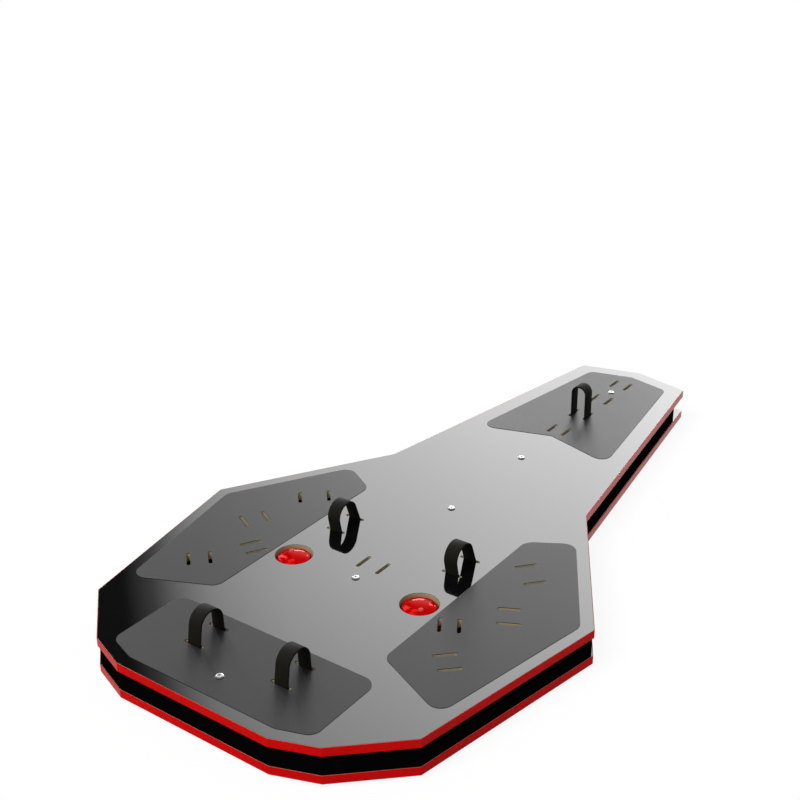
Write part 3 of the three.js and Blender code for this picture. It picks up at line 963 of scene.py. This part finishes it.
def ball_half(centre, top):
    """The upper half-section of a ball, from the pole down: a crown in a hole over a squeezed bulge."""
    bend, bend_centre = crown_bend(top)
    half_gap = (DECK_BOTTOM - BASE_TOP) / 2 - SEAT_GAP
    upper = []
    edge = BALL_CROWN_RADIUS - BALL_SHOULDER
    for step in range(CROWN_STEPS + 1):
        radius = BALL_POLE + (edge - BALL_POLE) * step / CROWN_STEPS
        upper.append((radius, bend_centre + math.sqrt(bend ** 2 - radius ** 2)))
    shoulder = upper[-1][1] - BALL_SHOULDER
    for step in range(1, SHOULDER_STEPS + 1):
        angle = math.pi / 2 * (1 - step / SHOULDER_STEPS)
        radius = edge + BALL_SHOULDER * math.cos(angle)
        upper.append((radius, shoulder + BALL_SHOULDER * math.sin(angle)))
    upper.append((BALL_CROWN_RADIUS, centre + half_gap))
    for step in range(BULGE_STEPS):
        angle = math.pi / 2 * (1 - step / BULGE_STEPS)
        radius = BALL_FLAT_RADIUS + (BALL_RADIUS - BALL_FLAT_RADIUS) * math.cos(angle)
        upper.append((radius, centre + half_gap * math.sin(angle)))
    return upper


def ball_profile(low, high):
    """Half-section of a ball, from the bottom up. The deck's crown stands a little higher."""
    centre = (low + high) / 2
    lower = [(radius, 2 * centre - height) for radius, height in ball_half(centre, high)]
    return lower + [(BALL_RADIUS, centre)] + ball_half(centre, high + BALL_LIFT)[::-1]


def make_ball(side):
    """A squeezed ball and its valve plug."""
    node = "ball_" + side
    low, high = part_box(node)
    centre = (low + high) / 2
    piece = turned("air_ball_" + side, ball_profile(low.z, high.z), centre, BALL_SIDES)
    valve = middle("valve_plug_" + side)
    valve_low, valve_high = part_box("valve_plug_" + side)
    valve_low.z += BALL_LIFT
    valve_high.z += BALL_LIFT
    radius, crown = VALVE_RADIUS + SEAT_GAP, high.z + BALL_LIFT
    pocket = hole_cutter(radius, valve, valve_low.z - SEAT_GAP, crown, RIM_BEVEL, ROUND_SIDES)
    cut(piece, [pocket])
    smooth(piece, 50)
    dress(piece, None, "ball", node, BALL_SKIN)
    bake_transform(piece)
    profile = [(VALVE_DIMPLE, valve_low.z), (VALVE_RADIUS - VALVE_RIM, valve_low.z),
               (VALVE_RADIUS, valve_low.z + VALVE_RIM)]
    skin = valve_low.z + VALVE_DEPTH
    for step in range(DOME_STEPS + 1):
        inwards = (step / DOME_STEPS) ** VALVE_RING_CROWDING
        radius = VALVE_RADIUS + (VALVE_DIMPLE - VALVE_RADIUS) * inwards
        share = radius / VALVE_RADIUS
        profile.append((radius, skin + (valve_high.z - skin) * math.sqrt(1 - share ** 2)))
    profile += [(0.8 * VALVE_DIMPLE, valve_high.z - VALVE_DIMPLE_EASE),
                (0.5 * VALVE_DIMPLE, valve_high.z - VALVE_DIMPLE_DEPTH)]
    plug = turned("ball_valve_" + side, profile, valve, ROUND_SIDES)
    smooth(plug, 50)
    dress(plug, "deck", "valve", "valve_plug_" + side, VALVE)


# Deck bolts


def make_deck_bolts():
    """Button-head bolts with hex sockets: one is modelled, and the others are its copies."""
    first = DECK_BOLTS[0]
    spot = middle(first)
    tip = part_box(first)[0].z
    shank = DECK_BOLT_RADIUS
    profile = [(shank - BOLT_CHAMFER, tip), (shank, tip + BOLT_CHAMFER), (shank, DECK_TOP),
               (HEAD_RADIUS - HEAD_EASE, DECK_TOP), (HEAD_RADIUS, DECK_TOP + HEAD_EASE),
               (HEAD_RADIUS, DECK_TOP + HEAD_RIM)]
    for step in range(1, HEAD_STEPS + 1):
        angle = math.pi / 2 * step / HEAD_STEPS
        radius = HEAD_TOP_RADIUS + (HEAD_RADIUS - HEAD_TOP_RADIUS) * math.cos(angle)
        profile.append((radius, DECK_TOP + HEAD_RIM + (HEAD_HEIGHT - HEAD_RIM) * math.sin(angle)))
    top = DECK_TOP + HEAD_HEIGHT
    profile.append((HEAD_TOP_RADIUS - HEAD_FLAT, top))
    bolt = turned("button_bolt_1", profile, spot, ROUND_SIDES)
    socket = hole_cutter(SOCKET_RADIUS, spot, top - SOCKET_DEPTH, top, SOCKET_BEVEL, HEX_SIDES)
    cut(bolt, [socket])
    smooth(bolt, 35)
    for index, node in enumerate(DECK_BOLTS[1:], start=2):
        copy = copy_of(bolt, f"button_bolt_{index}", middle(node) - spot)
        dress(copy, "deck", "bolt", node, BRIGHT_STEEL)
    dress(bolt, "deck", "bolt", first, BRIGHT_STEEL)


# Webbing straps


def arc(centre_run, centre_height, radius, start, finish, steps):
    """Points of an arc as (run, height), angles in degrees from the run's direction."""
    angles = [math.radians(start + (finish - start) * step / steps) for step in range(steps + 1)]
    return [(centre_run + radius * math.cos(a), centre_height + radius * math.sin(a)) for a in angles]


def touch(run, height, radius, side):
    """Where a leg touches its arch, in degrees. The leg's foot is given from the arch's centre."""
    opening = math.acos(min(radius / math.hypot(run, height), 1))
    return math.degrees(math.atan2(height, run) + side * opening)


def strap_path(half, top, arch, lean):
    """The middle of a strap's thickness: from its hidden end in the near slot over the arch to the
    far one, back under the deck, and up the near leg again inside itself."""
    centre_height = top - STRAP_THICKNESS / 2 - arch
    foot_depth = DECK_TOP - centre_height
    under = DECK_BOTTOM - SEAT_GAP - STRAP_THICKNESS / 2
    bend = under + STRAP_BEND
    inner_half = half - STRAP_LAP
    inner_arch = arch - STRAP_LAP
    near = touch(-half - lean, foot_depth, arch, -1) + 360
    far = touch(half - lean, foot_depth, arch, 1)
    inner_near = touch(-inner_half - lean, foot_depth, inner_arch, -1) + 360
    path = [(-half, DECK_TOP - STRAP_TAIL), (-half, DECK_TOP)]
    path += arc(lean, centre_height, arch, near, far, ARCH_STEPS)
    path += [(half, DECK_TOP)]
    path += arc(half - STRAP_BEND, bend, STRAP_BEND, 360, 270, BEND_STEPS)
    path += arc(STRAP_BEND - inner_half, bend, STRAP_BEND, 270, 180, BEND_STEPS)
    path += [(-inner_half, DECK_TOP)]
    path += arc(lean, centre_height, inner_arch, inner_near, STRAP_LAP_END, LAP_STEPS)
    return path


def make_strap(name, node):
    """A webbing loop: an edge drawn along its path, thickened, with softened edges."""
    x_share, y_share, span, arch_share, lean_share = STRAPS[node]
    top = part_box(node)[1].z
    path = strap_path(span / 2, top, arch_share * span, lean_share * span)
    bpy.ops.mesh.primitive_plane_add(size=STRAP_WIDTH, location=(0, 0, 0))
    piece = name_it(name)
    begin(piece)
    pick("VERT", lambda vertex: vertex.co.y > 0)
    bpy.ops.mesh.delete(type="VERT")
    bpy.ops.mesh.select_all(action="SELECT")
    run, height = path[0]
    shift(y=run + STRAP_WIDTH / 2, z=height)
    for next_run, next_height in path[1:]:
        bpy.ops.mesh.extrude_edges_move(
            TRANSFORM_OT_translate={"value": (0, next_run - run, next_height - height)}
        )
        run, height = next_run, next_height
    face_outwards()
    end()
    lay_uv(piece, path)
    modify(piece, "SOLIDIFY", thickness=STRAP_THICKNESS, offset=0, use_even_offset=True)
    modify(piece, "BEVEL", width=STRAP_EDGE_BEVEL, segments=2, limit_method="ANGLE",
           angle_limit=math.radians(60))
    piece.location = place(x_share, y_share)
    piece.rotation_euler.z = 0 if span == FOOT_STRAP_SPAN else math.pi / 2
    settle(piece)
    smooth(piece, 40)
    dress(piece, "deck", "webbing", node, WEBBING)


def lay_uv(piece, path):
    """A UV map in metres: across the strap, and along its path."""
    lengths = [0]
    for (run, height), (next_run, next_height) in zip(path, path[1:]):
        lengths.append(lengths[-1] + math.hypot(next_run - run, next_height - height))
    layer = piece.data.uv_layers.new(name="weave")
    for loop in piece.data.loops:
        spot = piece.data.vertices[loop.vertex_index].co
        nearest = min(range(len(path)), key=lambda index: math.dist(path[index], (spot.y, spot.z)))
        layer.data[loop.index].uv = (spot.x + STRAP_WIDTH / 2, lengths[nearest])


# Skirt, bumpers and feet


def make_skirt():
    """The elastic skirt in the gap: a thin wall with close level ribs."""
    outline = board_outline(SKIRT_FRONT_SETBACK)
    piece = flat_sheet("elastic_skirt", outline, BASE_TOP)
    keep_inside(piece, SKIRT_INSET)
    keep_rim(piece, SKIRT_THICKNESS)
    begin(piece)
    bpy.ops.mesh.select_all(action="SELECT")
    step = (DECK_BOTTOM - BASE_TOP) / (2 * SKIRT_RIBS)
    for index in range(2 * SKIRT_RIBS):
        extrude(z=step)
    face_outwards()
    levels = [BASE_TOP + step * index for index in range(1, 2 * SKIRT_RIBS, 2)]
    pick("VERT", lambda vertex: any(abs(vertex.co.z - level) < step / 4 for level in levels))
    bpy.ops.transform.shrink_fatten(value=SKIRT_RIB)
    end()
    layer = piece.data.uv_layers.new(name="wall")
    for loop in piece.data.loops:
        spot = piece.data.vertices[loop.vertex_index].co
        layer.data[loop.index].uv = (spot.x + spot.y, spot.z - BASE_TOP)
    smooth(piece, 25)
    dress(piece, None, "skirt", "gap_skirt", SKIRT_CLOTH)
    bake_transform(piece)


def round_profile(bottom_radius, top_radius, low, high, fillet):
    """A tapered block's half-section with rounded rims and a shallow recess in its top."""
    return [
        (0.3 * bottom_radius, low), (bottom_radius - fillet, low),
        (bottom_radius - 0.3 * fillet, low + 0.3 * fillet), (bottom_radius, low + fillet),
        (top_radius, high - fillet), (top_radius - 0.3 * fillet, high - 0.3 * fillet),
        (top_radius - fillet, high), (0.3 * top_radius, high),
    ]


def make_rubber():
    """Feet under the base and bumpers on it, each kind modelled once and copied."""
    kinds = {"foot_": ("rubber_foot_", FOOT_RADII), "bumper_": ("rubber_stop_", BUMPER_RADII)}
    for prefix, (new_prefix, radii) in kinds.items():
        nodes = [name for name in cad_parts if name.startswith(prefix)]
        low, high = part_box(nodes[0])
        spot = middle(nodes[0])
        profile = round_profile(*radii, low.z, high.z, RUBBER_FILLET)
        first = turned("pattern", profile, spot, ROUND_SIDES)
        smooth(first, 50)
        for node in nodes:
            piece = copy_of(first, new_prefix + node.removeprefix(prefix), middle(node) - spot)
            dress(piece, "base", "soft_rubber", node, RUBBER)
        bpy.data.objects.remove(first)


def dress_cad_nodes():
    """The pieces that keep their CAD meshes get their finishes."""
    finishes = {
        "rocker_shaft": GROUND_STEEL, "bearing_insert": GROUND_STEEL, "shaft_saddle": SATIN_ALUMINIUM,
        "shaft_collar": SATIN_ALUMINIUM, "pillow_block": CAST_IRON, "pillow_bolt": BRIGHT_STEEL,
    }
    for name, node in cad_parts.items():
        for prefix, finish in finishes.items():
            if name.startswith(prefix):
                for slot in node.material_slots:
                    slot.material = finish


# Stage: white floor, soft light and the photograph's camera


def put_in_scene(name, data):
    """A new object in the scene that holds this camera or light."""
    thing = bpy.data.objects.new(name, data)
    bpy.context.scene.collection.objects.link(thing)
    return thing


def make_camera():
    """The camera that was fitted to the photograph."""
    camera = put_in_scene("photo_camera", bpy.data.cameras.new("photo_camera"))
    camera.data.lens = CAMERA_LENS
    camera.data.sensor_width = SENSOR_WIDTH
    camera.data.sensor_fit = "HORIZONTAL"
    camera.matrix_world = (
        Matrix.Translation(CAMERA_PLACE)
        @ Matrix.Rotation(math.radians(CAMERA_TURN), 4, "Z")
        @ Matrix.Rotation(math.radians(90 - CAMERA_DROP), 4, "X")
        @ Matrix.Rotation(math.radians(CAMERA_ROLL), 4, "Z")
    )
    bpy.context.scene.camera = camera


def make_floor():
    """White to the camera but for the object's shadow, and unseen by gloss, which mirrors the world."""
    bpy.ops.mesh.primitive_plane_add(size=FLOOR_SIZE, location=(0, 0, 0))
    floor = name_it("studio_floor")
    floor.visible_glossy = False
    finish = new_finish("studio_floor")
    shade = (FLOOR_PAINT, FLOOR_PAINT, FLOOR_PAINT, 1)
    paint = finish.add("ShaderNodeBsdfDiffuse", inputs={"Color": shade})
    glow = finish.add("ShaderNodeEmission", inputs={"Color": (1, 1, 1, 1), "Strength": FLOOR_GLOW})
    seen = finish.add("ShaderNodeLightPath", output="Is Camera Ray")
    mixed = finish.add("ShaderNodeMixShader", inputs={0: FLOOR_GLOW_SHARE * seen, 1: paint, 2: glow})
    finish.add("ShaderNodeOutputMaterial", inputs={"Surface": mixed})
    floor.data.materials.append(finish.owner)


def make_world():
    """White to the camera, even to matt surfaces, and to gloss a bright far side under a dim ceiling."""
    world = bpy.data.worlds.new("studio")
    bpy.context.scene.world = world
    finish = Finish(world)
    direction = finish.place_on("Generated", turn=(0, 0, -math.radians(CAMERA_TURN)))
    side = finish.part(direction, 0)
    ahead = finish.part(direction, 1)
    rise = finish.part(direction, 2)
    around = finish.maths("ARCTAN2", side, ahead)
    around_share = 0.5 + around / (2 * math.pi)
    rise_share = 0.5 + 0.5 * rise
    glow = GLOW * finish.ramp(around_share, [(0.5 + turn / 360, level) for turn, level in GLOW_AROUND])
    for stops in (GLOW_UP, HORIZON_UP, CEILING_UP):
        by_height = finish.ramp(rise_share, [(0.5 + height / 2, level) for height, level in stops])
        glow = glow * by_height if stops is GLOW_UP else glow + by_height
    camera = finish.add("ShaderNodeLightPath", output="Is Camera Ray")
    gloss = finish.add("ShaderNodeLightPath", output="Is Glossy Ray")
    strength = camera + gloss * glow + (1 - camera) * (1 - gloss) * AMBIENT
    background = finish.add("ShaderNodeBackground", inputs={"Color": (1, 1, 1, 1), "Strength": strength})
    finish.add("ShaderNodeOutputWorld", inputs={"Surface": background})


def make_key_light():
    """A wide even light from behind the rear edge, a little to the left. Gloss doesn't mirror it."""
    light = bpy.data.lights.new("key_light", "SUN")
    light.energy = math.pi * KEY_LIGHT
    light.angle = math.radians(KEY_LIGHT_SOFTNESS)
    lamp = put_in_scene("key_light", light)
    lamp.rotation_euler = (math.radians(90 - KEY_LIGHT_HEIGHT), 0, -math.radians(KEY_LIGHT_TURN))
    lamp.visible_glossy = False


def make_spark(name, around, height, width, tall, level):
    """A soft box that only gloss mirrors, set by its direction and its width and height in degrees."""
    turn = math.radians(CAMERA_TURN - around)
    rise = math.radians(height)
    level_part = math.cos(rise)
    away = Vector((-math.sin(turn) * level_part, math.cos(turn) * level_part, math.sin(rise)))
    spot = SPARK_DISTANCE * away
    light = bpy.data.lights.new(name, "AREA")
    light.shape = "RECTANGLE"
    light.size = SPARK_DISTANCE * math.radians(width)
    light.size_y = SPARK_DISTANCE * math.radians(tall)
    light.energy = math.pi * level * light.size * light.size_y
    lamp = put_in_scene(name, light)
    lamp.matrix_world = Matrix.Translation(spot) @ (-spot).to_track_quat("-Z", "Y").to_matrix().to_4x4()
    lamp.visible_camera = False
    lamp.visible_diffuse = False


make_camera()
make_world()
make_floor()
make_key_light()
for name, direction_and_size in SPARKS.items():
    make_spark(name, *direction_and_size)
make_boards()
make_grips()
for side in ("left", "right"):
    make_ball(side)
make_deck_bolts()
for strap in STRAPS:
    make_strap(strap.replace("strap", "webbing"), strap)
make_skirt()
make_rubber()
dress_cad_nodes()

bpy.context.scene.view_settings.view_transform = "Standard"
